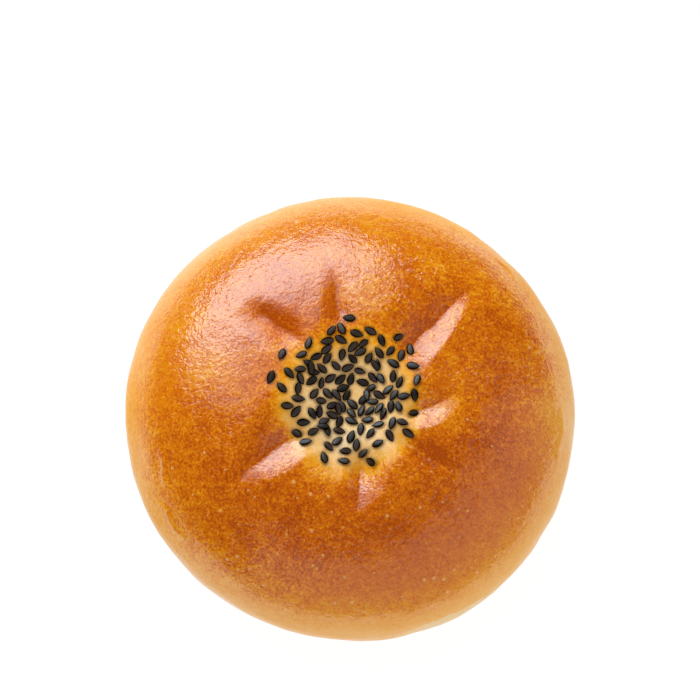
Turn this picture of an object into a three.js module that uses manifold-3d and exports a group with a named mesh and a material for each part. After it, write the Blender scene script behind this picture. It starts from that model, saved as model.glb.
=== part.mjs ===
// A round glazed bread roll with a pressed centre, puckered creases and a patch of sesame seeds.
// Millimetres, +Z up, the origin at the middle of the flat base. +Y is the back of the roll.
import * as THREE from "three";
import { mergeVertices } from "three/addons/utils/BufferGeometryUtils.js";
import Module from "manifold-3d";

// The roll as baked: its overall size, the height of its widest place and the flat it stands on.
const roll = {
  width: 100,
  depth: 100,
  height: 43,
  waistHeight: 17,
  footRadius: 35,
  crownHeight: 46.5, // of the dome before its centre is pressed in
  crownPower: 2.1, // how flat the dome stays before it turns down
  crownRoot: 2.05,
  footPower: 2.1,
  topFade: 9, // the height over which the pressing and the creases take hold
};

// The pressed centre, a soft round hollow, and the dip where its near side eases out further.
const hollow = { x: 0.3, y: 0.3, depth: 5.4, radius: 10.6, power: 2.2 };
const dip = { x: -2, y: -11, depth: 2.2, radius: 9.5, power: 2 };

// Creases run out from the hollow. Each has a steep narrow bank and a gentle wide one.
// turn is the bearing in degrees, anticlockwise from +X; offset moves the line sideways, to its left;
// side is 1 where the wide bank lies to the left of the crease and -1 where it lies to the right.
// Its depth runs out over the share run of its length, and its banks narrow to the share tip.
const creases = [
  { turn: 48, offset: -3.1, from: 14, to: 38, depth: 3.3, wide: 11, narrow: 5.4, side: 1, run: 0.9, tip: 0.3 },
  { turn: 95, offset: 1.4, from: 14, to: 29, depth: 1.8, wide: 4.6, narrow: 4.4, side: 1, run: 0.8, tip: 0.6 },
  { turn: 141, offset: -0.8, from: 15, to: 30.5, depth: 1.9, wide: 4.6, narrow: 6, side: -1, run: 0.4, tip: 0.9 },
  { turn: 219, offset: -0.6, from: 14, to: 35, depth: 3.4, wide: 10, narrow: 6, side: -1, run: 0.9, tip: 0.35 },
  { turn: 265, offset: 3.3, from: 13, to: 26.5, depth: 2.8, wide: 4, narrow: 6.6, side: -1, run: 0.7, tip: 0.5 },
  { turn: 326.5, offset: -3.55, from: 13, to: 29, depth: 1.6, wide: 7, narrow: 2.6, side: 1, run: 0.7, tip: 0.7 },
  { turn: 22, offset: -9.2, from: 9, to: 22, depth: 2.4, wide: 6, narrow: 5.2, side: 1, run: 0.7, tip: 0.5 },
];
const creaseForm = {
  startsIn: -4, // it starts over the length between these two, from its own start
  startsOut: 4,
  floor: 0.35, // rounds its bottom
  spread: 0.7,
  wideCurve: 1.7,
  narrowCurve: 1.12,
};

// Slow waves that keep the outline and the ring round the hollow from being a true circle.
const outlineWaves = [
  { count: 2, share: 0.006, turn: 155 },
  { count: 3, share: 0.004, turn: 50 },
  { count: 5, share: 0.002, turn: 12 },
];
const ringWaves = [
  { count: 1, height: 0.5, turn: 120 },
  { count: 3, height: 0.35, turn: 75 },
];
const ringReach = { middle: 25, spread: 14 };

// Black sesame, scattered by a seeded draw over the hollow.
const sesame = {
  x: -0.1, // the middle of the patch
  y: -0.4,
  length: 3,
  width: 1.7,
  thickness: 0.9,
  taper: 0.22,
  patch: 17,
  dense: 8, // inside this radius every place is as likely as another
  sunk: 0.12,
  slack: 0.84, // how near two seeds may lie, as a share of touching
  tries: 1000, // each is drawn a little further out than the one before
  gather: 0.8,
  stacked: 5, // seeds that rest on others
  stackTries: 400,
  stackPatch: 10,
  stackLift: 0.26, // how much higher those lie, as a share of a seed's thickness
  draw: 225,
};
const bareSpots = [
  { x: 1.6, y: 0.8, radius: 2.1 },
  { x: 0.4, y: -7.4, radius: 1.6 },
  { x: 2.4, y: 7, radius: 1.3 },
];
// A seed's footprint as circles: each one's place along it and its radius, as shares of half a seed.
const seedCircles = [
  { along: -0.5, radius: 0.79 },
  { along: 0, radius: 1 },
  { along: 0.55, radius: 0.77 },
];

const ballDetail = 12; // how often each side of the starting icosahedron is divided
const topDensity = 1.3; // above 1 the triangles crowd towards the top
const lineShare = 0.8; // of the ball's polar steps, those above the flat base
const sectionSteps = { dome: 40, side: 14 };
const seedSides = { around: 6, along: 4 };
const weldDistance = 1e-4;
const farAbove = 2 * roll.height; // where the rays that find the crust start
const colours = { crust: 0xc06a16 };

const radians = THREE.MathUtils.degToRad;

// Park and Miller's generator, whole numbers only, so that every run scatters the seeds alike.
function makeDraw(start) {
  const modulus = 2147483647;
  const multiplier = 16807;
  let state = start;
  return () => {
    state = (state * multiplier) % modulus;
    return state / modulus;
  };
}

// The roll's outline at a bearing, as a share of its mean radius.
function outlineAt(bearing) {
  const waves = outlineWaves.map((w) => w.share * Math.cos(w.count * (bearing - radians(w.turn))));
  return waves.reduce((sum, wave) => sum + wave, 1);
}

// How far a pressed place lowers the dome.
function pressedAt(shape, x, y) {
  const distance = Math.hypot(x - shape.x, y - shape.y);
  return shape.depth * Math.exp(-((distance / shape.radius) ** shape.power));
}

// How far one crease lowers it.
function depthOfCrease(crease, x, y) {
  const bearing = radians(crease.turn);
  const dx = x - hollow.x;
  const dy = y - hollow.y;
  const along = dx * Math.cos(bearing) + dy * Math.sin(bearing);
  const across = crease.side * (dy * Math.cos(bearing) - dx * Math.sin(bearing) - crease.offset);
  const starts = THREE.MathUtils.smoothstep(along - crease.from, creaseForm.startsIn, creaseForm.startsOut);
  const left = 1 - THREE.MathUtils.clamp((along - crease.from) / (crease.to - crease.from), 0, 1);
  const widest = across > 0 ? crease.wide : crease.narrow;
  const curve = across > 0 ? creaseForm.wideCurve : creaseForm.narrowCurve;
  const bank = widest * (crease.tip + (1 - crease.tip) * left ** creaseForm.spread);
  const reach = Math.min((Math.hypot(across, creaseForm.floor) - creaseForm.floor) / bank, 1);
  return crease.depth * starts * THREE.MathUtils.smoothstep(left, 0, crease.run) * (1 - reach) ** curve;
}

// How far the creases lower it. Where two meet, the deeper one counts.
function creaseAt(x, y) {
  return Math.max(...creases.map((crease) => depthOfCrease(crease, x, y)));
}

// The gentle rise and fall of the ring round the hollow.
function ringAt(x, y) {
  const distance = Math.hypot(x, y);
  const bearing = Math.atan2(y, x);
  const near = Math.exp(-(((distance - ringReach.middle) / ringReach.spread) ** 2));
  return ringWaves.reduce((sum, w) => sum + near * w.height * Math.cos(w.count * (bearing - radians(w.turn))), 0);
}

// Half the roll's section as one smooth line, from the middle of the dome round to the edge of the flat base.
function sectionLine() {
  const radius = roll.width / 2;
  const points = [];
  for (let i = 0; i < sectionSteps.dome; i++) {
    const share = Math.sin((i / sectionSteps.dome) * (Math.PI / 2));
    const rise = (1 - share ** roll.crownPower) ** (1 / roll.crownRoot);
    points.push(new THREE.Vector2(share * radius, roll.waistHeight + (roll.crownHeight - roll.waistHeight) * rise));
  }
  for (let i = 0; i <= sectionSteps.side; i++) {
    const turn = (i / sectionSteps.side) * (Math.PI / 2);
    const out = Math.cos(turn) ** (2 / roll.footPower);
    const down = Math.sin(turn) ** (2 / roll.footPower);
    const x = roll.footRadius + (radius - roll.footRadius) * out;
    points.push(new THREE.Vector2(x, roll.waistHeight * (1 - down)));
  }
  return new THREE.SplineCurve(points);
}

// A geometry with only its places, each shared by the faces that meet there.
function welded(geometry) {
  const bare = new THREE.BufferGeometry();
  bare.setAttribute("position", geometry.getAttribute("position"));
  bare.setIndex(geometry.index);
  return mergeVertices(bare, weldDistance);
}

// A closed solid from a geometry. Faces that the welding closed up, as at a pole, are dropped.
function solidOf(wasm, geometry) {
  const whole = welded(geometry);
  const corners = [];
  for (let i = 0; i < whole.index.count; i += 3) {
    const [a, b, c] = [0, 1, 2].map((k) => whole.index.getX(i + k));
    if (a !== b && b !== c && c !== a) corners.push(a, b, c);
  }
  const vertProperties = whole.getAttribute("position").array;
  return new wasm.Manifold(new wasm.Mesh({ numProp: 3, vertProperties, triVerts: new Uint32Array(corners) }));
}

// The roll without its seeds: an even ball of triangles laid onto the section, then pressed and creased.
function rollGeometry() {
  const geometry = welded(new THREE.IcosahedronGeometry(1, ballDetail));
  const line = sectionLine();
  const place = geometry.getAttribute("position");
  for (let i = 0; i < place.count; i++) {
    const bearing = Math.atan2(place.getY(i), place.getX(i));
    const share = (Math.acos(place.getZ(i)) / Math.PI) ** topDensity;
    const onLine = Math.min(share / lineShare, 1);
    const inBase = (share - lineShare) / (1 - lineShare);
    const point = line.getPointAt(onLine);
    const distance = point.x * outlineAt(bearing) * (share > lineShare ? 1 - inBase : 1);
    const x = distance * Math.cos(bearing);
    const y = distance * Math.sin(bearing);
    const top = THREE.MathUtils.smoothstep(point.y, roll.waistHeight, roll.waistHeight + roll.topFade);
    const pressed = pressedAt(hollow, x, y) + pressedAt(dip, x, y);
    const lowered = top * (pressed + creaseAt(x, y) - ringAt(x, y));
    place.setXYZ(i, x, y, point.y - lowered);
  }
  return fitted(geometry);
}

// Brings a geometry to the roll's overall size, centred over the origin and standing on it.
function fitted(geometry) {
  geometry.computeBoundingBox();
  const size = geometry.boundingBox.getSize(new THREE.Vector3());
  const centre = geometry.boundingBox.getCenter(new THREE.Vector3());
  geometry.translate(-centre.x, -centre.y, -geometry.boundingBox.min.z);
  geometry.scale(roll.width / size.x, roll.depth / size.y, roll.height / size.z);
  return geometry;
}

// One seed, a flat drop lying along X with its point towards +X.
function seedGeometry() {
  const geometry = new THREE.SphereGeometry(1, seedSides.around, seedSides.along);
  geometry.rotateZ(-Math.PI / 2);
  const place = geometry.getAttribute("position");
  for (let i = 0; i < place.count; i++) {
    const x = place.getX(i);
    const narrowed = 1 - sesame.taper * x;
    place.setXYZ(i, x, place.getY(i) * narrowed, place.getZ(i) * narrowed);
  }
  geometry.scale(sesame.length / 2, sesame.width / 2, sesame.thickness / 2);
  return geometry;
}

// The circles of one seed where it lies.
function footprint(seed) {
  return seedCircles.map((circle) => ({
    x: seed.x + (Math.cos(seed.turn) * circle.along * sesame.length) / 2,
    y: seed.y + (Math.sin(seed.turn) * circle.along * sesame.length) / 2,
    radius: ((circle.radius - sesame.taper * circle.along * 0.5) * sesame.width) / 2,
  }));
}

function clash(one, other) {
  const near = sesame.slack;
  return footprint(one).some((a) =>
    footprint(other).some((b) => Math.hypot(a.x - b.x, a.y - b.y) < near * (a.radius + b.radius)),
  );
}

// One seed at a distance from the middle of the patch, or nothing where its place stays bare.
function drawSeed(distance, draw) {
  const bearing = 2 * Math.PI * draw();
  const turn = 2 * Math.PI * draw();
  const x = distance * Math.cos(bearing);
  const y = distance * Math.sin(bearing);
  const thinning = (distance - sesame.dense) / (sesame.patch - sesame.dense);
  const thinned = draw() < thinning;
  const bare = bareSpots.some((spot) => Math.hypot(x - spot.x, y - spot.y) < spot.radius);
  return thinned || bare ? null : { x: x + sesame.x, y: y + sesame.y, turn };
}

// Where each seed falls: first those that lie clear of each other, from the middle outwards,
// then a few that rest on them.
function scatterSeeds() {
  const draw = makeDraw(sesame.draw);
  const lower = [];
  for (let i = 0; i < sesame.tries; i++) {
    const seed = drawSeed(sesame.patch * ((i + draw()) / sesame.tries) ** sesame.gather, draw);
    if (seed && !lower.some((other) => clash(seed, other))) lower.push({ ...seed, layer: 0 });
  }
  const upper = [];
  for (let i = 0; i < sesame.stackTries && upper.length < sesame.stacked; i++) {
    const seed = drawSeed(sesame.stackPatch * Math.sqrt(draw()), draw);
    const rests = seed && lower.some((other) => clash(seed, other));
    if (rests && !upper.some((other) => clash(seed, other))) upper.push({ ...seed, layer: 1 });
  }
  return [...lower, ...upper];
}

// Sets a seed down on the roll, flat on the crust under it.
function laySeed(seed, rollMesh) {
  const above = new THREE.Vector3(seed.x, seed.y, farAbove);
  const down = new THREE.Vector3(0, 0, -1);
  const hit = new THREE.Raycaster(above, down).intersectObject(rollMesh)[0];
  const lift = sesame.thickness * (0.5 - sesame.sunk + sesame.stackLift * seed.layer);
  const tilt = new THREE.Quaternion().setFromUnitVectors(new THREE.Vector3(0, 0, 1), hit.face.normal);
  const spin = new THREE.Quaternion().setFromAxisAngle(new THREE.Vector3(0, 0, 1), seed.turn);
  const place = hit.point.clone().addScaledVector(hit.face.normal, lift);
  const geometry = seedGeometry();
  geometry.applyQuaternion(tilt.multiply(spin));
  geometry.translate(place.x, place.y, place.z);
  return geometry;
}

// A manifold-3d solid as a three.js geometry.
function geometryOf(solid) {
  const mesh = solid.getMesh();
  const geometry = new THREE.BufferGeometry();
  geometry.setAttribute("position", new THREE.BufferAttribute(mesh.vertProperties, mesh.numProp));
  geometry.setIndex(new THREE.BufferAttribute(mesh.triVerts, 1));
  geometry.computeVertexNormals();
  return geometry;
}

// The roll with its seeds baked on, one solid.
async function makeRoll() {
  const wasm = await Module();
  wasm.setup();
  const bare = rollGeometry();
  const rollMesh = new THREE.Mesh(bare, new THREE.MeshBasicMaterial({ side: THREE.DoubleSide }));
  const seeds = scatterSeeds().map((seed) => solidOf(wasm, laySeed(seed, rollMesh)));
  const solid = seeds.reduce((whole, seed) => whole.add(seed), solidOf(wasm, bare));
  const crust = new THREE.MeshStandardMaterial({ color: colours.crust, roughness: 0.35, metalness: 0 });
  const mesh = new THREE.Mesh(geometryOf(solid), crust);
  mesh.name = "roll";
  return mesh;
}

const part = new THREE.Group();
part.add(await makeRoll());

export default part;
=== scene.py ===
import bisect
import math

import bmesh
import bpy
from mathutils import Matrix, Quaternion, Vector, noise
from mathutils.bvhtree import BVHTree
from mathutils.kdtree import KDTree


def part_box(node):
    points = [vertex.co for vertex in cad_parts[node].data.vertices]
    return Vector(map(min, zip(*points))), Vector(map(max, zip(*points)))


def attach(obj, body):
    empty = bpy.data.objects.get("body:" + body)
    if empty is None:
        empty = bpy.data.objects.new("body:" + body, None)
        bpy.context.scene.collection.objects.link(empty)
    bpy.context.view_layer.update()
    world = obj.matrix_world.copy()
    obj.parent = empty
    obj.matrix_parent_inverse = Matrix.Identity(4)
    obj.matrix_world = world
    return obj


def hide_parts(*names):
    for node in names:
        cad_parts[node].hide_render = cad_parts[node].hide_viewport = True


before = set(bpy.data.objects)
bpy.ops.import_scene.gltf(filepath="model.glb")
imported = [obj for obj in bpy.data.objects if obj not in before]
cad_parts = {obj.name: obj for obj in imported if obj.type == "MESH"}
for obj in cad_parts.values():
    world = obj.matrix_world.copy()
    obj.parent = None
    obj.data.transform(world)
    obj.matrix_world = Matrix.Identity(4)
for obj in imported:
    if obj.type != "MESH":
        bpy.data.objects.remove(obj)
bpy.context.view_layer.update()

mm = 0.001

# the baked roll, in millimetres
rollForm = {
    "width": 100, "height": 43, "waistHeight": 17, "footRadius": 35,
    "crownHeight": 46.5, "crownPower": 2.1, "crownRoot": 2.05, "footPower": 2.1,
    "topDensity": 1.3,      # crowds the mesh towards the top
    "lineShare": 0.72,      # of the polar steps, those above the flat base
    "lineSteps": 400,       # along each half of the section
    "topFade": 9,           # height over which the pressing takes hold
    "cuts": 127,            # of each side of the starting cube
}
# the pressed centre, and the dip where its near side eases out further
hollow = {"x": 0.3, "y": 0.3, "depth": 5.4, "radius": 10.6, "power": 2.2}
dip = {"x": -2.0, "y": -11.0, "depth": 2.2, "radius": 9.5, "power": 2.0}
# turn is the bearing of a crease and offset moves its line to the left; side is 1 where its wide bank
# lies left; its depth runs out over the share run of its length, and its banks narrow to the share tip;
# where a last number is given, it is how strongly a painted highlight, a thin pale line, shows along it
creases = [
    {"turn": 48, "offset": -3.1, "from": 14, "to": 38, "depth": 3.3,
     "wide": 11, "narrow": 5.4, "side": 1, "run": 0.9, "tip": 0.3},
    {"turn": 95, "offset": 1.4, "from": 14, "to": 29, "depth": 1.8,
     "wide": 4.6, "narrow": 4.4, "side": 1, "run": 0.8, "tip": 0.6},
    {"turn": 141, "offset": -0.8, "from": 15, "to": 30.5, "depth": 1.9,
     "wide": 4.6, "narrow": 6.0, "side": -1, "run": 0.4, "tip": 0.9},
    {"turn": 219, "offset": -0.6, "from": 14, "to": 35, "depth": 3.4,
     "wide": 10, "narrow": 6.0, "side": -1, "run": 0.9, "tip": 0.35},
    {"turn": 265, "offset": 3.3, "from": 13, "to": 26.5, "depth": 2.8,
     "wide": 4.0, "narrow": 6.6, "side": -1, "run": 0.7, "tip": 0.5},
    {"turn": 326.5, "offset": -3.55, "from": 13, "to": 29, "depth": 1.6,
     "wide": 7, "narrow": 2.6, "side": 1, "run": 0.7, "tip": 0.7, "paintedHighlight": 0.4},
    {"turn": 22, "offset": -9.2, "from": 9, "to": 22, "depth": 2.4,
     "wide": 6, "narrow": 5.2, "side": 1, "run": 0.7, "tip": 0.5},
]
creaseForm = {
    "startsIn": -4, "startsOut": 4, "floor": 0.35, "spread": 0.7, "wideCurve": 1.7, "narrowCurve": 1.12,
    "wanderLength": 5.0, "wander": 0.55, "wanderX": 9, "wanderY": 31,     # a noise that its line strays by
}
outlineWaves = [
    {"count": 2, "share": 0.006, "turn": 155},
    {"count": 3, "share": 0.004, "turn": 50},
    {"count": 5, "share": 0.002, "turn": 12},
]
ringWaves = [
    {"count": 1, "height": 0.5, "turn": 120},
    {"count": 3, "height": 0.35, "turn": 75},
]
ringReach = {"middle": 25, "spread": 14}


def smooth(value, low, high):
    t = min(max((value - low) / (high - low), 0), 1)
    return t * t * (3 - 2 * t)


def swing(bearing, turn, count=1):
    return math.cos(count * (bearing - math.radians(turn)))


def turned(x, y, angle):
    # how far a place lies along a bearing, and to the left of it
    return x * math.cos(angle) + y * math.sin(angle), y * math.cos(angle) - x * math.sin(angle)


def nearness(place, x, y):
    return math.exp(-((math.hypot(x - place["x"], y - place["y"]) / place["radius"]) ** 2))


def outlineAt(bearing):
    return 1 + sum(w["share"] * swing(bearing, w["turn"], w["count"]) for w in outlineWaves)


def pressedAt(shape, x, y):
    distance = math.hypot(x - shape["x"], y - shape["y"])
    return shape["depth"] * math.exp(-((distance / shape["radius"]) ** shape["power"]))


def ringAt(x, y):
    near = math.exp(-(((math.hypot(x, y) - ringReach["middle"]) / ringReach["spread"]) ** 2))
    bearing = math.atan2(y, x)
    return near * sum(w["height"] * swing(bearing, w["turn"], w["count"]) for w in ringWaves)


def wander(x, y):
    at = Vector((x, y, 0)) / creaseForm["wanderLength"]
    aside = noise.noise(at + Vector((0, 0, creaseForm["wanderX"])))
    away = noise.noise(at + Vector((0, 0, creaseForm["wanderY"])))
    return x + creaseForm["wander"] * aside, y + creaseForm["wander"] * away


def placeOnCrease(crease, x, y):
    along, across = turned(x - hollow["x"], y - hollow["y"], math.radians(crease["turn"]))
    across = (across - crease["offset"]) * crease["side"]
    starts = smooth(along - crease["from"], creaseForm["startsIn"], creaseForm["startsOut"])
    left = 1 - min(max((along - crease["from"]) / (crease["to"] - crease["from"]), 0), 1)
    return across, starts, left


def creaseAt(x, y):
    deepest = 0
    for crease in creases:
        across, starts, left = placeOnCrease(crease, x, y)
        bank = crease["wide"] if across > 0 else crease["narrow"]
        bank *= crease["tip"] + (1 - crease["tip"]) * left ** creaseForm["spread"]
        curve = creaseForm["wideCurve"] if across > 0 else creaseForm["narrowCurve"]
        reach = min((math.hypot(across, creaseForm["floor"]) - creaseForm["floor"]) / bank, 1)
        depth = crease["depth"] * starts * smooth(left, 0, crease["run"])
        deepest = max(deepest, depth * (1 - reach) ** curve)
    return deepest


def sectionLine():
    radius = rollForm["width"] / 2
    foot = rollForm["footRadius"]
    waist = rollForm["waistHeight"]
    steps = rollForm["lineSteps"]
    points = []
    for i in range(steps):
        share = math.sin(i / steps * math.pi / 2)
        rise = (1 - share ** rollForm["crownPower"]) ** (1 / rollForm["crownRoot"])
        points.append((share * radius, waist + (rollForm["crownHeight"] - waist) * rise))
    for i in range(steps + 1):
        turn = i / steps * math.pi / 2
        out = max(math.cos(turn), 0) ** (2 / rollForm["footPower"])
        down = math.sin(turn) ** (2 / rollForm["footPower"])
        points.append((foot + (radius - foot) * out, waist * (1 - down)))
    lengths = [0]
    for before, after in zip(points, points[1:]):
        lengths.append(lengths[-1] + math.dist(before, after))
    return points, [length / lengths[-1] for length in lengths]


def pointOnLine(line, share):
    points, lengths = line
    i = min(max(bisect.bisect_right(lengths, share), 1), len(points) - 1)
    t = (share - lengths[i - 1]) / max(lengths[i] - lengths[i - 1], 1e-9)
    before, after = points[i - 1], points[i]
    return before[0] + (after[0] - before[0]) * t, before[1] + (after[1] - before[1]) * t


# small unevenness of the skin, each with its wavelength and height in millimetres
skinWaves = [
    {"length": 14, "height": 0.22}, {"length": 6, "height": 0.13},
    {"length": 2.8, "height": 0.05}, {"length": 1.5, "height": 0.012},
]
skinForm = {
    "footLow": 0.5, "footHigh": 4,                              # it fades out on the flat base
    "rougher": 0.5, "roughLow": 18.0, "roughHigh": 30.0,        # and is stronger on the side than on top
    "aside": 0.5, "upward": 1.2, "middleHeight": 12,            # the way it stands out
}
# each fold lies square to its bearing, so far away from the middle
folds = [
    {"turn": 191, "away": 42.3, "shift": 7, "length": 5, "height": 0.32, "width": 0.5},
    {"turn": 213, "away": 46.3, "shift": 0, "length": 6, "height": 0.34, "width": 0.5},
    {"turn": 39, "away": 46.3, "shift": 2, "length": 5, "height": 0.32, "width": 0.5},
    {"turn": 350, "away": 46.4, "shift": 0, "length": 8, "height": 0.26, "width": 0.6},
]
foldSway = {"reach": 0.3, "rate": 0.9}


def skinAt(spot):
    faded = smooth(spot.z, skinForm["footLow"], skinForm["footHigh"])
    side = 1 - smooth(spot.z, skinForm["roughLow"], skinForm["roughHigh"])
    height = sum(w["height"] * noise.noise(spot / w["length"]) for w in skinWaves)
    return height * faded * (1 + skinForm["rougher"] * side)


def foldsAt(x, y):
    # low folds in the skin along the side
    height = 0
    for fold in folds:
        across, along = turned(x, y, math.radians(fold["turn"]))
        across -= fold["away"] + foldSway["reach"] * math.sin(along * foldSway["rate"])
        ends = max(1 - ((along - fold["shift"]) / fold["length"]) ** 2, 0)
        height += fold["height"] * ends * math.exp(-(across / fold["width"]) ** 2)
    return height


# black sesame, laid where the solid has it: the same seeded draw gives the same places
sesame = {
    "x": -0.1, "y": -0.4, "length": 3.0, "width": 1.7, "thickness": 0.9, "taper": 0.22,
    "patch": 17, "dense": 8, "sunk": 0.12, "slack": 0.84, "near": 1.2, "tries": 1000, "gather": 0.8,
    "stacked": 5, "stackTries": 400, "stackPatch": 10, "stackLift": 0.26, "draw": 225,
}
bareSpots = [
    {"x": 1.6, "y": 0.8, "radius": 2.1},
    {"x": 0.4, "y": -7.4, "radius": 1.6},
    {"x": 2.4, "y": 7.0, "radius": 1.3},
]
seedCircles = [(-0.5, 0.79), (0, 1), (0.55, 0.77)]      # along a seed and their radii, in halves of it
drawFactor = 16807
drawSpan = 2147483647


def makeDraw(start):
    state = [start]

    def draw():
        state[0] = state[0] * drawFactor % drawSpan
        return state[0] / drawSpan
    return draw


def footprint(seed):
    circles = []
    for along, radius in seedCircles:
        reach = along * sesame["length"] / 2
        x = seed["x"] + math.cos(seed["turn"]) * reach
        y = seed["y"] + math.sin(seed["turn"]) * reach
        circles.append((x, y, (radius - sesame["taper"] * along / 2) * sesame["width"] / 2))
    return circles


def clash(one, other):
    if math.hypot(one["x"] - other["x"], one["y"] - other["y"]) > sesame["length"] * sesame["near"]:
        return False
    return any(math.hypot(ax - bx, ay - by) < sesame["slack"] * (ar + br)
               for ax, ay, ar in footprint(one) for bx, by, br in footprint(other))


def drawSeed(distance, draw):
    bearing = 2 * math.pi * draw()
    turn = 2 * math.pi * draw()
    x = distance * math.cos(bearing)
    y = distance * math.sin(bearing)
    thinned = draw() < (distance - sesame["dense"]) / (sesame["patch"] - sesame["dense"])
    if thinned or any(math.hypot(x - spot["x"], y - spot["y"]) < spot["radius"] for spot in bareSpots):
        return None
    return {"x": x + sesame["x"], "y": y + sesame["y"], "turn": turn}


def scatterSeeds():
    # first the seeds that lie clear of each other, from the middle outwards, then a few that rest on them
    draw = makeDraw(sesame["draw"])
    lower = []
    for i in range(sesame["tries"]):
        out = ((i + draw()) / sesame["tries"]) ** sesame["gather"]
        seed = drawSeed(sesame["patch"] * out, draw)
        if seed and not any(clash(seed, other) for other in lower):
            lower.append(seed | {"layer": 0})
    upper = []
    for i in range(sesame["stackTries"]):
        if len(upper) == sesame["stacked"]:
            break
        seed = drawSeed(sesame["stackPatch"] * math.sqrt(draw()), draw)
        rests = seed and any(clash(seed, other) for other in lower)
        if rests and not any(clash(seed, other) for other in upper):
            upper.append(seed | {"layer": 1})
    return lower + upper


seeds = scatterSeeds()
seedTree = KDTree(len(seeds))
for index, seed in enumerate(seeds):
    seedTree.insert((seed["x"], seed["y"], 0), index)
seedTree.balance()

# painted shadow: the crust is darkened round the foot of each seed, where the seeds' contact shadows fall
seedShadowLook = {
    "within": 22, "reach": 2.4, "inner": 0.9, "outer": 1.36,
    "strength": 0.5, "colour": (0.14, 0.05, 0.012, 1),
}


def seedShadowAt(x, y):
    nearest = math.inf
    for spot, index, distance in seedTree.find_range((x, y, 0), seedShadowLook["reach"]):
        along, across = turned(x - spot.x, y - spot.y, seeds[index]["turn"])
        nearest = min(nearest, math.hypot(along / sesame["length"], across / sesame["width"]) * 2)
    return 1 - smooth(nearest, seedShadowLook["inner"], seedShadowLook["outer"])


# how pale the crust is, from its baking and from painted light and shade: 0 is the darkest brown, 0.5 the
# sides, 1 and more the cream middle
bakeAndPaintedLight = {
    # painted light: the crust is painted paler out towards the window's side
    "middle": 0.25, "lift": 0.11, "paintedLightTurn": 120, "paintedLightInner": 20, "paintedLightOuter": 38,     # paler to one side
    "rimLow": 19.0, "rimHigh": 39.5, "rim": 0.48, "rimSwing": 0.14, "rimTurn": 320,      # and down the side
    "bareX": -0.6, "bareY": -2.6, "bareInner": 8.0, "bareOuter": 18.8, "bare": 0.85,     # and in the middle
    # the crease banks are darkened partly by browning and partly by painted shade
    "toastAndShade": 0.18, "toastAndShadeWide": 3.2, "toastAndShadeNarrow": 0.7, "toastAndShadeEnds": 3, "toastAndShadeDepth": 2,
    "uneven": 0.04,
}
# a wide and a fine noise that wander all these edges, in millimetres
unevenness = {"wide": 2.5, "wideRate": 0.12, "fine": 0.8, "fineRate": 0.4}
# places browner or paler than the rest, up to their radius: most are baked so, and those on the dark crease
# banks are painted shade
patches = [
    {"x": -22, "y": -27, "radius": 9, "pale": -0.04},
    {"x": 24, "y": -11, "radius": 8, "pale": -0.08},
    {"x": 11, "y": 36, "radius": 11, "pale": 0.04},
    {"x": -36, "y": -3, "radius": 9, "pale": -0.03},
    {"x": 43, "y": -2, "radius": 7, "pale": 0.16},
    {"x": 26, "y": -30, "radius": 14, "pale": 0.05},
    {"x": 20, "y": -3, "radius": 5, "pale": 0.23},
    {"x": -3, "y": -19, "radius": 6, "pale": 0.03},
    {"x": -1, "y": -10, "radius": 5, "pale": 0.15},
    {"x": -33, "y": 12, "radius": 8, "pale": 0.06},
    {"x": -30, "y": 34, "radius": 12, "pale": 0.06},
    {"x": 0, "y": -43, "radius": 10, "pale": 0.05},
    {"x": -20, "y": 26, "radius": 12, "pale": -0.09},
    {"x": -4.2, "y": 21, "radius": 3.5, "pale": 0.12},
    # painted shade on the dark bank of the back-left crease
    {"x": -16.7, "y": 15.8, "radius": 4, "pale": -0.10},
    # painted shade on the dark bank of the back-right crease, here and in the next
    {"x": 14.5, "y": 15.5, "radius": 3.5, "pale": -0.09},
    {"x": 19, "y": 20, "radius": 4, "pale": -0.09},
    # painted shade on the dark bank of the front-right crease
    {"x": 18, "y": -13.5, "radius": 3.2, "pale": -0.10},
    {"x": 26, "y": 22, "radius": 6, "pale": 0.10},
    {"x": 35, "y": 5, "radius": 7, "pale": -0.07},
    # painted shade on the dark bank of the front-right crease
    {"x": 17.5, "y": -13.5, "radius": 3, "pale": -0.16},
    {"x": 5, "y": 17.5, "radius": 6, "pale": 0.14},
    # painted shade on the dark bank of the front-left crease
    {"x": -18.6, "y": -9.5, "radius": 4, "pale": -0.12},
    {"x": -1, "y": -18, "radius": 4, "pale": 0.12},
    {"x": -30.5, "y": 4, "radius": 5, "pale": 0.14},
    {"x": -15.5, "y": 10.5, "radius": 3.5, "pale": 0.10},
    {"x": 14.3, "y": 10.5, "radius": 3, "pale": 0.09},
    {"x": -9, "y": -13.5, "radius": 3, "pale": 0.12},
    {"x": 12, "y": -28, "radius": 5, "pale": -0.10},
    {"x": -6, "y": -27, "radius": 10, "pale": -0.07},
]
# the painted highlight along a crease: its shift, width, ends and the noise that breaks it
creaseHighlightLook = {"shift": 0.3, "width": 0.32, "ends": 4, "grain": 0.9, "grainAt": 5, "gap": -0.4, "whole": 0.2}
# the foot of one side, where the roll touched its neighbour and no wash came
dryPlace = {
    "turn": 296, "spread": 19, "ends": 13, "bottom": 16.5, "height": 6.0, "ragged": 0.6, "soft": 0.3,
    "fadeLow": 3, "fadeHigh": 22, "pale": 0.5, "thinner": 0.5,
}


def unevenAt(spot):
    wide = noise.noise(spot * unevenness["wideRate"]) * unevenness["wide"]
    return wide + noise.noise(spot * unevenness["fineRate"]) * unevenness["fine"]


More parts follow.
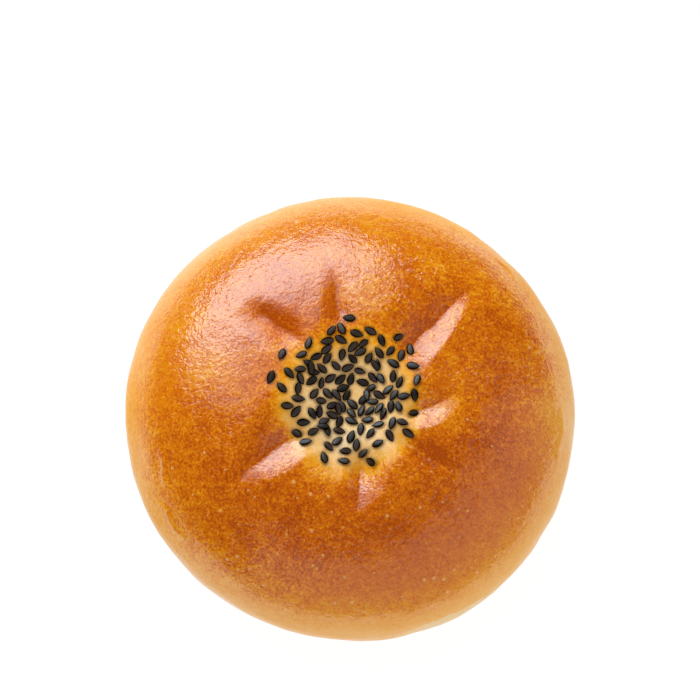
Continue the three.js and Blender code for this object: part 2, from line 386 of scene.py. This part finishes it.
def toastAndShadeAt(x, y):
    # darker along the foot of each wide bank: browner crust, and painted shade where the bank is turned
    # from the window
    most = 0
    for crease in creases:
        across, starts, left = placeOnCrease(crease, x, y)
        width = bakeAndPaintedLight["toastAndShadeWide"] if across > 0 else bakeAndPaintedLight["toastAndShadeNarrow"]
        strength = starts * min(left * bakeAndPaintedLight["toastAndShadeEnds"], 1) * min(crease["depth"] / bakeAndPaintedLight["toastAndShadeDepth"], 1)
        most = max(most, strength * math.exp(-(across / width) ** 2))
    return most


def creaseHighlightAt(x, y):
    # painted highlight: a thin pale line along a crease, broken up by noise
    most = 0
    for crease in creases:
        if "paintedHighlight" in crease:
            across, starts, left = placeOnCrease(crease, x, y)
            grain = noise.noise(Vector((x, y, creaseHighlightLook["grainAt"])) * creaseHighlightLook["grain"])
            broken = smooth(grain, creaseHighlightLook["gap"], creaseHighlightLook["whole"])
            line = math.exp(-((across - creaseHighlightLook["shift"]) / creaseHighlightLook["width"]) ** 2)
            most = max(most, crease["paintedHighlight"] * line * broken * starts * min(left * creaseHighlightLook["ends"], 1))
    return most


def dryAt(bearing, height, uneven):
    away = (math.degrees(bearing) - dryPlace["turn"] + 180) % 360 - 180
    upTo = dryPlace["bottom"] + dryPlace["height"] * (1 - (away / dryPlace["spread"]) ** 2)
    below = smooth(upTo + uneven * dryPlace["ragged"] - height, -dryPlace["soft"], dryPlace["soft"])
    ends = smooth(dryPlace["spread"] - abs(away), 0, dryPlace["ends"])
    return ends * below * smooth(height, dryPlace["fadeLow"], dryPlace["fadeHigh"])


def palenessAt(x, y, height, top, uneven):
    bearing = math.atan2(y, x)
    away = smooth(math.hypot(x, y), bakeAndPaintedLight["paintedLightInner"], bakeAndPaintedLight["paintedLightOuter"])
    # painted light: paler towards the window's side
    pale = bakeAndPaintedLight["middle"] + bakeAndPaintedLight["lift"] * away * swing(bearing, bakeAndPaintedLight["paintedLightTurn"])
    # baked patches, and painted shade on the dark crease banks
    pale += sum(patch["pale"] * nearness(patch, x, y) for patch in patches)
    rim = bakeAndPaintedLight["rim"] + bakeAndPaintedLight["rimSwing"] * swing(bearing, bakeAndPaintedLight["rimTurn"])
    pale += rim * (1 - smooth(height + uneven, bakeAndPaintedLight["rimLow"], bakeAndPaintedLight["rimHigh"]))
    pale += bakeAndPaintedLight["uneven"] * uneven
    # a painted highlight along one crease, and browner crust with painted shade along the crease banks
    pale += top * (creaseHighlightAt(*wander(x, y)) - bakeAndPaintedLight["toastAndShade"] * toastAndShadeAt(*wander(x, y)))
    fromBare = math.hypot(x - bakeAndPaintedLight["bareX"], y - bakeAndPaintedLight["bareY"])
    return pale + top * bakeAndPaintedLight["bare"] * (1 - smooth(fromBare + uneven, bakeAndPaintedLight["bareInner"], bakeAndPaintedLight["bareOuter"]))


# the wash is thinner down the sides, thick again where it gathered at the waist, and none is in the hollow
glazing = {
    "y": 2.5, "inner": 9.0, "outer": 16.0, "uneven": 0.5,
    "rimLow": 22.0, "rimHigh": 35.0, "rim": 0.52, "swing": 0.10, "turn": 190,
    "edge": 0.3, "edgeTurn": 105, "edgeLow": 18.5, "edgeHigh": 24.0,
}
# places where it lies thinner or thicker than the rest
washSpots = [
    {"x": -46, "y": -1, "radius": 9, "wash": -0.5},
    {"x": 45, "y": -6, "radius": 7, "wash": 0.2},
    {"x": -40, "y": -22, "radius": 8, "wash": -0.35},
    {"x": -44, "y": 13, "radius": 6, "wash": -0.15},
    {"x": 12, "y": 44, "radius": 8, "wash": -0.25},
    {"x": 24, "y": 39, "radius": 7, "wash": -0.2},
    {"x": 38, "y": 24, "radius": 8, "wash": -0.2},
    {"x": 45, "y": 11, "radius": 6, "wash": -0.15},
    {"x": -30, "y": 36, "radius": 9, "wash": 0.25},
    {"x": -15.5, "y": 15, "radius": 4.5, "wash": -0.8},
    {"x": 16.6, "y": 16.6, "radius": 3.2, "wash": -0.6},
    {"x": 12.5, "y": 11.5, "radius": 3, "wash": -0.5},
    {"x": -17, "y": 1, "radius": 5, "wash": -0.3},
    {"x": -13.5, "y": 7.5, "radius": 4, "wash": -0.35},
]


def glazeAt(x, y, height, uneven):
    bearing = math.atan2(y, x)
    fromMiddle = math.hypot(x, y - glazing["y"]) + uneven * glazing["uneven"]
    rim = glazing["rim"] + glazing["swing"] * swing(bearing, glazing["turn"])
    wash = rim + (1 - rim) * smooth(height + uneven, glazing["rimLow"], glazing["rimHigh"])
    facing = 1 + swing(bearing, glazing["edgeTurn"])
    wash += glazing["edge"] * facing * (1 - smooth(height, glazing["edgeLow"], glazing["edgeHigh"]))
    wash += sum(spot["wash"] * nearness(spot, x, y) for spot in washSpots)
    return smooth(fromMiddle, glazing["inner"], glazing["outer"]) * min(max(wash, 0), 1)


# where small blisters stand in the skin
blisterPlaces = [
    {"x": 11, "y": 24, "radius": 9, "share": 1.0},
    {"x": 24, "y": 3, "radius": 5, "share": 0.7},
    {"x": 20, "y": -20, "radius": 5, "share": 0.7},
]
# where the crust is less mottled
calmSides = [
    {"turn": -55, "from": 22, "to": 36, "share": 0.45},
    {"turn": 122, "from": 14, "to": 26, "share": 0.4},
]


def mottleAt(x, y):
    mottle = 1
    for side in calmSides:
        towards = turned(x, y, math.radians(side["turn"]))[0]
        mottle -= side["share"] * smooth(towards, side["from"], side["to"])
    return mottle


# the skin's grain is drawn out into short strokes that run away from the hollow
strokes = {
    "scale": 2.5, "detail": 1, "step": 0.22, "samples": 4,
    "swerve": 2.6, "swerveLength": 2.2, "droop": 0.02,
    "tone": 0.5, "lift": 1.0, "groove": 0.4, "grooveFrom": 0.44, "grooveTo": 0.38,
}


def strokeWay(spot, fromMiddle):
    droop = -strokes["droop"] * fromMiddle ** 2
    outwards = Vector((spot.x - hollow["x"], spot.y - hollow["y"], droop)).normalized()
    swerve = strokes["swerve"] * noise.noise(spot / strokes["swerveLength"])
    return Quaternion((0, 0, 1), swerve) @ outwards


def placeOnRoll(corner, line):
    # a point of the cube goes to the same direction on the turned section
    ball = Vector([math.tan(c * math.pi / 4) for c in corner]).normalized()
    bearing = math.atan2(ball.y, ball.x)
    share = (math.acos(min(max(ball.z, -1), 1)) / math.pi) ** rollForm["topDensity"]
    lineShare = rollForm["lineShare"]
    radius, height = pointOnLine(line, min(share / lineShare, 1))
    if share > lineShare:
        radius *= 1 - (share - lineShare) / (1 - lineShare)
    radius *= outlineAt(bearing)
    return bearing, radius * math.cos(bearing), radius * math.sin(bearing), height


def makeRollMesh():
    bm = bmesh.new()
    bmesh.ops.create_cube(bm, size=2)
    bmesh.ops.subdivide_edges(bm, edges=bm.edges, cuts=rollForm["cuts"], use_grid_fill=True)
    pale = bm.verts.layers.float.new("pale")
    glaze = bm.verts.layers.float.new("glaze")
    seedShadow = bm.verts.layers.float.new("seedShadow")
    mottle = bm.verts.layers.float.new("mottle")
    blister = bm.verts.layers.float.new("blister")
    grainWay = bm.verts.layers.float_vector.new("grainWay")
    line = sectionLine()
    waist = rollForm["waistHeight"]
    for v in bm.verts:
        bearing, x, y, height = placeOnRoll(v.co, line)
        spot = Vector((x, y, height))
        top = smooth(height, waist, waist + rollForm["topFade"])
        pressed = pressedAt(hollow, x, y) + pressedAt(dip, x, y) + creaseAt(*wander(x, y))
        lowered = top * (pressed - ringAt(x, y))
        upward = (height - skinForm["middleHeight"]) * skinForm["upward"]
        outward = Vector((x * skinForm["aside"], y * skinForm["aside"], upward)).normalized()
        relief = skinAt(spot) + (foldsAt(x, y) if height > waist else 0)
        v.co = (Vector((x, y, height - lowered)) + outward * relief) * mm
        fromMiddle = math.hypot(x - hollow["x"], y - hollow["y"])
        uneven = unevenAt(spot)
        dry = dryAt(bearing, height, uneven)
        v[pale] = palenessAt(x, y, height, top, uneven) + dryPlace["pale"] * dry
        v[glaze] = glazeAt(x, y, height, uneven) * (1 - dryPlace["thinner"] * dry)
        # painted shadow round the foot of each seed
        v[seedShadow] = top * seedShadowAt(x, y) if fromMiddle < seedShadowLook["within"] else 0
        v[mottle] = mottleAt(x, y)
        v[blister] = sum(place["share"] * nearness(place, x, y) for place in blisterPlaces)
        v[grainWay] = strokeWay(spot, fromMiddle)
    return bm


def fitToBox(bm, low, high):
    ownLow = Vector([min(v.co[k] for v in bm.verts) for k in range(3)])
    ownHigh = Vector([max(v.co[k] for v in bm.verts) for k in range(3)])
    scale = [(high[k] - low[k]) / (ownHigh[k] - ownLow[k]) for k in range(3)]
    bmesh.ops.translate(bm, verts=bm.verts, vec=-ownLow)
    bmesh.ops.scale(bm, verts=bm.verts, vec=scale)
    bmesh.ops.translate(bm, verts=bm.verts, vec=low)


def finishMesh(bm, name, material):
    mesh = bpy.data.meshes.new(name)
    bm.to_mesh(mesh)
    bm.free()
    mesh.shade_smooth()
    mesh.materials.append(material)
    obj = bpy.data.objects.new(name, mesh)
    bpy.context.scene.collection.objects.link(obj)
    return obj


# small helpers for the node trees
def feed(tree, value, socket):
    if isinstance(value, bpy.types.NodeSocket):
        tree.links.new(value, socket)
    else:
        socket.default_value = value


def addNode(tree, kind, inputs=None, **settings):
    node = tree.nodes.new(kind)
    for name, value in settings.items():
        setattr(node, name, value)
    for name, value in (inputs or {}).items():
        feed(tree, value, node.inputs[name])
    return node


def mixColour(tree, factor, first, second):
    node = addNode(tree, "ShaderNodeMix", data_type="RGBA")
    feed(tree, factor, node.inputs[0])
    feed(tree, first, node.inputs[6])
    feed(tree, second, node.inputs[7])
    return node.outputs[2]


def doMaths(tree, operation, first, second, third=0.0, clamp=False):
    node = addNode(tree, "ShaderNodeMath", operation=operation, use_clamp=clamp)
    for socket, value in zip(node.inputs, (first, second, third)):
        feed(tree, value, socket)
    return node.outputs[0]


def mapRange(tree, value, fromMin, fromMax, toMin=0.0, toMax=1.0):
    ends = {"From Min": fromMin, "From Max": fromMax, "To Min": toMin, "To Max": toMax}
    node = addNode(tree, "ShaderNodeMapRange", {"Value": value} | ends, interpolation_type="SMOOTHSTEP")
    return node.outputs["Result"]


def makeNoise(tree, place, scale, detail, roughness=0.5, distortion=0.0):
    look = {"Scale": scale, "Detail": detail, "Roughness": roughness, "Distortion": distortion}
    return addNode(tree, "ShaderNodeTexNoise", {"Vector": place} | look).outputs["Fac"]


def readAttribute(tree, name, output="Fac"):
    return addNode(tree, "ShaderNodeAttribute", attribute_name=name).outputs[output]


def placeInMillimetres(tree):
    where = addNode(tree, "ShaderNodeTexCoord").outputs["Object"]
    return addNode(tree, "ShaderNodeVectorMath", {0: where, 3: 1 / mm}, operation="SCALE").outputs[0]


def startMaterial(name):
    material = bpy.data.materials.new(name)
    material.use_nodes = True
    return material, material.node_tree, material.node_tree.nodes["Principled BSDF"]


def linkCoated(tree, bsdf, look, colour, coat, height):
    bsdf.inputs["Roughness"].default_value = look["roughness"]
    bsdf.inputs["Coat Roughness"].default_value = look["coatRoughness"]
    bsdf.inputs["Coat IOR"].default_value = look["coatIor"]
    bsdf.inputs["Specular IOR Level"].default_value = 0.0       # only the coat shines
    raised = {"Height": height, "Strength": look["bump"], "Distance": look["bumpHeight"]}
    bump = addNode(tree, "ShaderNodeBump", raised).outputs[0]
    tree.links.new(colour, bsdf.inputs["Base Color"])
    tree.links.new(coat, bsdf.inputs["Coat Weight"])
    tree.links.new(bump, bsdf.inputs["Normal"])
    tree.links.new(bump, bsdf.inputs["Coat Normal"])


# colours of the crust by how pale it is
bakeColours = [
    (0.00, (0.42, 0.070, 0.003, 1)), (0.12, (0.545, 0.104, 0.003, 1)), (0.25, (0.65, 0.148, 0.003, 1)),
    (0.36, (0.725, 0.204, 0.004, 1)), (0.45, (0.79, 0.264, 0.005, 1)), (0.55, (0.84, 0.335, 0.012, 1)),
    (0.70, (0.88, 0.415, 0.055, 1)), (1.00, (0.88, 0.53, 0.19, 1)), (1.30, (0.89, 0.64, 0.34, 1)),
]
crustLook = {
    "roughness": 0.5, "coatRoughness": 0.09, "coatIor": 1.9, "bump": 1.0, "bumpHeight": 0.0001,
    # grain shades and lifts the browned skin, and fades out on the pale side
    "shadeFrom": 0.35, "shadeTo": 0.7, "shadeLeft": 0.6, "liftFrom": 0.36, "liftTo": 0.60, "liftLeft": 0.35,
}
# how many to the millimetre, and how much each shades and lifts
crustNoises = {
    "grain": {"scale": 1.9, "detail": 2, "roughness": 0.6, "distortion": 0.0, "tone": 0.95, "lift": 0.15},
    "dimples": {"scale": 0.9, "detail": 1, "roughness": 0.5, "distortion": 0.6, "tone": 0.5, "lift": 1.6},
    "blotches": {"scale": 0.3, "detail": 2, "roughness": 0.6, "distortion": 0.0, "tone": 0.4, "lift": 0.0},
}
# pale dots: spacing and largest radius in millimetres, and the share of the places that has one
speckLook = {"spacing": 1.2, "size": 0.2, "share": 0.3, "strength": 0.4, "colour": (0.86, 0.50, 0.12, 1)}
dotLook = {
    "spacing": 2.4, "size": 0.46, "strength": 0.6, "colour": (0.90, 0.47, 0.12, 1),
    "few": 0.2, "fewAt": 20, "many": 0.8, "manyAt": -38,        # more of them towards the front
}
blisterLook = {"spacing": 1.5, "size": 0.6, "share": 0.8, "lift": 1.8}
dotForm = {"smallest": 0.5, "edgeOuter": 1.2, "edgeInner": 0.5}


def makeStrokes(tree, place):
    # noise averaged along the attribute's direction turns grains into short strokes
    way = readAttribute(tree, "grainWay", "Vector")
    total = 0.0
    for i in range(strokes["samples"]):
        shift = strokes["step"] * (i - (strokes["samples"] - 1) / 2)
        moved = addNode(tree, "ShaderNodeVectorMath", {0: way, 1: (shift, shift, shift), 2: place},
                        operation="MULTIPLY_ADD").outputs[0]
        total = doMaths(tree, "ADD", makeNoise(tree, moved, strokes["scale"], strokes["detail"]), total)
    return doMaths(tree, "DIVIDE", total, strokes["samples"])


def makeDots(tree, place, look, share):
    # one dot in some of the cells, each of its own size
    spacing = look["spacing"]
    largest = look["size"] / spacing
    cells = addNode(tree, "ShaderNodeTexVoronoi", {"Vector": place, "Scale": 1 / spacing})
    pick = addNode(tree, "ShaderNodeSeparateColor", {"Color": cells.outputs["Color"]})
    chosen = doMaths(tree, "LESS_THAN", pick.outputs[0], share)
    radius = mapRange(tree, pick.outputs[1], 0, 1, largest * dotForm["smallest"], largest)
    away = doMaths(tree, "DIVIDE", cells.outputs["Distance"], radius)
    inside = mapRange(tree, away, dotForm["edgeOuter"], dotForm["edgeInner"])
    return doMaths(tree, "MULTIPLY", inside, chosen)


def paintOver(tree, colour, mask, look):
    return mixColour(tree, doMaths(tree, "MULTIPLY", mask, look["strength"]), colour, look["colour"])


def makeCrust():
    material, tree, bsdf = startMaterial("glazedCrust")
    place = placeInMillimetres(tree)
    pale = readAttribute(tree, "pale")

    stroke = makeStrokes(tree, place)
    tone = doMaths(tree, "MULTIPLY", doMaths(tree, "SUBTRACT", stroke, 0.5), strokes["tone"])
    relief = doMaths(tree, "MULTIPLY", stroke, strokes["lift"])
    for look in crustNoises.values():
        grain = makeNoise(tree, place, look["scale"], look["detail"], look["roughness"], look["distortion"])
        tone = doMaths(tree, "MULTIPLY_ADD", doMaths(tree, "SUBTRACT", grain, 0.5), look["tone"], tone)
        if look["lift"]:
            relief = doMaths(tree, "MULTIPLY_ADD", grain, look["lift"], relief)
    shaded = mapRange(tree, pale, crustLook["shadeFrom"], crustLook["shadeTo"], 1.0, crustLook["shadeLeft"])
    tone = doMaths(tree, "MULTIPLY", doMaths(tree, "MULTIPLY", tone, shaded), readAttribute(tree, "mottle"))

    span = bakeColours[-1][0]
    level = doMaths(tree, "DIVIDE", doMaths(tree, "ADD", pale, tone), span, clamp=True)
    ramp = addNode(tree, "ShaderNodeValToRGB", {"Fac": level})
    stops = ramp.color_ramp.elements
    for i, (position, shade) in enumerate(bakeColours):
        stop = stops[i] if i < 2 else stops.new(position)
        stop.position = position / span
        stop.color = shade

    specks = makeDots(tree, place, speckLook, speckLook["share"])
    colour = paintOver(tree, ramp.outputs["Color"], specks, speckLook)
    front = addNode(tree, "ShaderNodeSeparateXYZ", {"Vector": place}).outputs["Y"]
    often = mapRange(tree, front, dotLook["fewAt"], dotLook["manyAt"], dotLook["few"], dotLook["many"])
    dots = makeDots(tree, place, dotLook, often)
    colour = paintOver(tree, colour, dots, dotLook)
    # painted shadow round the foot of each seed
    colour = paintOver(tree, colour, readAttribute(tree, "seedShadow"), seedShadowLook)

    groove = mapRange(tree, stroke, strokes["grooveFrom"], strokes["grooveTo"], 0, strokes["groove"])
    coat = doMaths(tree, "MULTIPLY", readAttribute(tree, "glaze"), doMaths(tree, "SUBTRACT", 1.0, groove))

    blisters = makeDots(tree, place, blisterLook, blisterLook["share"])
    blisters = doMaths(tree, "MULTIPLY", blisters, readAttribute(tree, "blister"))
    relief = doMaths(tree, "ADD", relief, dots)
    relief = doMaths(tree, "MULTIPLY_ADD", blisters, blisterLook["lift"], relief)
    lifted = mapRange(tree, pale, crustLook["liftFrom"], crustLook["liftTo"], 1.0, crustLook["liftLeft"])
    linkCoated(tree, bsdf, crustLook, colour, coat, doMaths(tree, "MULTIPLY", relief, lifted))
    return material


bm = makeRollMesh()
boxLow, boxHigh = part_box("roll")
boxHigh.z = rollForm["height"] * mm     # the seeds stand above the crust
fitToBox(bm, boxLow, boxHigh)
rollPiece = finishMesh(bm, "glazedRoll", makeCrust())
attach(rollPiece, "root")
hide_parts("roll")
print("roll made")

# one seed: pointed at its ends, flat on its faces, and rocked a little where it lies
seedForm = {
    "around": 14, "rings": 10, "point": 0.22, "flat": 0.35, "rock": 0.5,
    "smallest": 0.85, "growth": 0.16, "draw": 77, "dropFrom": 90,
    # the dark edge is painted shade, darkening each seed towards its rim
    "crestEdge": 0.3, "tipEdge": 0.7,       # how its dark edge narrows on top and closes at the ends
}
seedLook = {
    "dark": (0.004, 0.002, 0.001, 1), "pale": (0.056, 0.036, 0.027, 1), "mixed": 0.6,
    "grain": 2.5, "grainDetail": 2, "faceEnds": 0.28, "edgeStarts": 0.68, "roughness": 0.6,
    "gloss": 0.9, "coatRoughness": 0.34, "coatIor": 1.6, "bump": 0.6, "bumpHeight": 0.0001,
}


def makeSeeds(material):
    surface = BVHTree.FromObject(rollPiece, bpy.context.evaluated_depsgraph_get())
    bm = bmesh.new()
    shade = bm.verts.layers.float.new("shade")
    edge = bm.verts.layers.float.new("edge")
    size = Vector((sesame["length"], sesame["width"], sesame["thickness"])) / 2 * mm
    lying = Quaternion((0, 1, 0), math.pi / 2).to_matrix()
    draw = makeDraw(seedForm["draw"])
    for seed in seeds:
        made = bmesh.ops.create_uvsphere(bm, u_segments=seedForm["around"], v_segments=seedForm["rings"],
                                         radius=1)["verts"]
        bmesh.ops.rotate(bm, verts=made, cent=(0, 0, 0), matrix=lying)
        tone = draw()
        grown = seedForm["smallest"] + seedForm["growth"] * draw()
        tip = (draw() - 0.5) * seedForm["rock"]
        roll = (draw() - 0.5) * seedForm["rock"]
        for v in made:
            x, y, z = v.co
            # how near its rim a point lies, for the painted shade there
            crest = 1 - seedForm["crestEdge"] * z
            rim = abs(y) / math.hypot(y, z) * crest if z > 0 else 1
            v[edge] = max(rim, smooth(abs(x), seedForm["tipEdge"], 1))
            v[shade] = tone
            narrow = (1 - sesame["taper"] * x) * max(1 - x * x, 0) ** seedForm["point"]
            v.co = Vector((x, y * narrow, (z - seedForm["flat"] * z * abs(z)) * narrow))
        bmesh.ops.scale(bm, verts=made, vec=size * grown)
        start = Vector((seed["x"], seed["y"], seedForm["dropFrom"])) * mm
        ground, normal, index, distance = surface.ray_cast(start, Vector((0, 0, -1)))
        lift = sesame["thickness"] * (0.5 - sesame["sunk"] + sesame["stackLift"] * seed["layer"]) * mm
        turn = Vector((0, 0, 1)).rotation_difference(normal) @ Quaternion((0, 0, 1), seed["turn"])
        turn = turn @ Quaternion((0, 1, 0), tip) @ Quaternion((1, 0, 0), roll)
        bmesh.ops.rotate(bm, verts=made, cent=(0, 0, 0), matrix=turn.to_matrix())
        bmesh.ops.translate(bm, verts=made, vec=ground + normal * lift)
    return finishMesh(bm, "sesameSeeds", material)


def makeSeedMaterial():
    # each seed has its own shade of black and a dark edge of painted shade, and only its faces shine
    material, tree, bsdf = startMaterial("blackSesame")
    grain = makeNoise(tree, placeInMillimetres(tree), seedLook["grain"], seedLook["grainDetail"])
    tone = doMaths(tree, "ADD", readAttribute(tree, "shade"), grain)
    mixed = doMaths(tree, "MULTIPLY", tone, seedLook["mixed"])
    colour = mixColour(tree, mixed, seedLook["dark"], seedLook["pale"])
    # painted shade: each seed darkens towards its rim
    rim = mapRange(tree, readAttribute(tree, "edge"), seedLook["faceEnds"], seedLook["edgeStarts"])
    colour = mixColour(tree, rim, colour, seedLook["dark"])
    gloss = doMaths(tree, "MULTIPLY", doMaths(tree, "SUBTRACT", 1.0, rim), seedLook["gloss"])
    linkCoated(tree, bsdf, seedLook, colour, gloss, grain)
    return material


seedPiece = makeSeeds(makeSeedMaterial())
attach(seedPiece, "root")
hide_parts("roll")
print("sesame laid")

# a floor that glows round the roll and dims further out
floorLook = {
    "size": 6, "colour": (0.14, 0.14, 0.14, 1), "roughness": 0.9,
    "glow": 0.92, "farGlow": 0.05, "near": 0.118, "far": 0.22,
}


def makeFloor():
    bpy.ops.mesh.primitive_plane_add(size=floorLook["size"])
    floor = bpy.context.object
    floor.name = "floor"
    material, tree, bsdf = startMaterial("paleFloor")
    bsdf.inputs["Base Color"].default_value = floorLook["colour"]
    bsdf.inputs["Roughness"].default_value = floorLook["roughness"]
    bsdf.inputs["Specular IOR Level"].default_value = 0
    bsdf.inputs["Emission Color"].default_value = (1, 1, 1, 1)
    where = addNode(tree, "ShaderNodeTexCoord").outputs["Object"]
    away = addNode(tree, "ShaderNodeVectorMath", {0: where}, operation="LENGTH").outputs["Value"]
    near, far = floorLook["near"], floorLook["far"]
    glow = mapRange(tree, away, near, far, floorLook["glow"], floorLook["farGlow"])
    tree.links.new(glow, bsdf.inputs["Emission Strength"])
    floor.data.materials.append(material)


makeFloor()
print("floor laid")

cameraView = {
    "elevation": 78, "lens": 110, "sensor": 36,
    "distance": 0.476, "aimUp": 0.01433, "height": 0.017,
}


def placeCamera():
    data = bpy.data.cameras.new("camera")
    data.lens = cameraView["lens"]
    data.sensor_width = cameraView["sensor"]
    camera = bpy.data.objects.new("camera", data)
    bpy.context.scene.collection.objects.link(camera)
    e = math.radians(cameraView["elevation"])
    centre = Vector((0, 0, cameraView["height"]))
    camera.location = centre + cameraView["distance"] * Vector((0, -math.cos(e), math.sin(e)))
    aim = centre + cameraView["aimUp"] * Vector((0, math.sin(e), math.cos(e)))
    camera.rotation_mode = "QUATERNION"
    camera.rotation_quaternion = (aim - camera.location).to_track_quat("-Z", "Y")
    bpy.context.scene.camera = camera


placeCamera()
print("camera placed")

# three softboxes, one before the other, make a window that is brightest low in its middle;
# turn and rise are their directions, across and up half the angles they fill,
# and glow is their brightness beside a white floor
windows = {
    "windowWide": {"turn": 118, "rise": 43, "across": 37, "up": 37, "glow": 0.8},
    "windowPane": {"turn": 115, "rise": 29, "across": 32, "up": 22, "glow": 1.84},
    "windowCore": {"turn": 121, "rise": 26, "across": 21, "up": 15, "glow": 0.95},
}
# each is there twice, a little bluer where it is mirrored in the glaze than where it lights the crust
windowColours = {"mirrored": (0.77, 1.0, 1.09), "spread": (0.935, 0.98, 1.0)}
# white cards stand upright on the other side
cards = {
    "cardLeft": {"turn": 257, "top": 45, "spread": 25, "glow": 0.37},
    "cardMiddle": {"turn": 306, "top": 46, "spread": 24.5, "glow": 0.37},
    "cardRight": {"turn": 354, "top": 45, "spread": 24, "glow": 0.37},
}
studio = {"distance": 0.8, "middle": Vector((0, 0, 0.03)), "room": (0.61, 0.61, 0.61, 1)}


def halfAngleSize(angle):
    return studio["distance"] * math.tan(math.radians(angle))


def addSoftbox(name, shape, out, place, width, height, glow, area):
    data = bpy.data.lights.new(name, "AREA")
    data.shape = shape
    data.size = width
    data.size_y = height
    data.energy = glow * math.pi * area
    lamp = bpy.data.objects.new(name, data)
    bpy.context.scene.collection.objects.link(lamp)
    lamp.location = place
    lamp.rotation_mode = "QUATERNION"
    lamp.rotation_quaternion = (-out).to_track_quat("-Z", "Y")
    return lamp


def addWindow(name, window):
    turn = math.radians(window["turn"])
    rise = math.radians(window["rise"])
    out = Vector((math.cos(turn) * math.cos(rise), math.sin(turn) * math.cos(rise), math.sin(rise)))
    place = studio["middle"] + out * studio["distance"]
    width = 2 * halfAngleSize(window["across"])
    height = 2 * halfAngleSize(window["up"])
    for use, colour in windowColours.items():
        area = math.pi * width * height / 4
        lamp = addSoftbox(name + use.title(), "ELLIPSE", out, place, width, height, window["glow"], area)
        lamp.data.color = colour
        lamp.visible_diffuse = use == "spread"
        lamp.visible_glossy = use == "mirrored"
        lamp.data.cycles.use_multiple_importance_sampling = use == "mirrored"


def addCard(name, card):
    turn = math.radians(card["turn"])
    out = Vector((math.cos(turn), math.sin(turn), 0))
    width = 2 * halfAngleSize(card["spread"])
    height = halfAngleSize(card["top"]) + studio["middle"].z
    place = out * studio["distance"] + Vector((0, 0, height / 2))
    addSoftbox(name, "RECTANGLE", out, place, width, height, card["glow"], width * height)


for name, window in windows.items():
    addWindow(name, window)
for name, card in cards.items():
    addCard(name, card)

world = bpy.data.worlds.new("studio")
bpy.context.scene.world = world
world.use_nodes = True
world.node_tree.nodes["Background"].inputs["Color"].default_value = studio["room"]
world.cycles_visibility.glossy = False      # the room above stays dark in the glaze
bpy.context.scene.view_settings.view_transform = "Standard"
print("lights set")
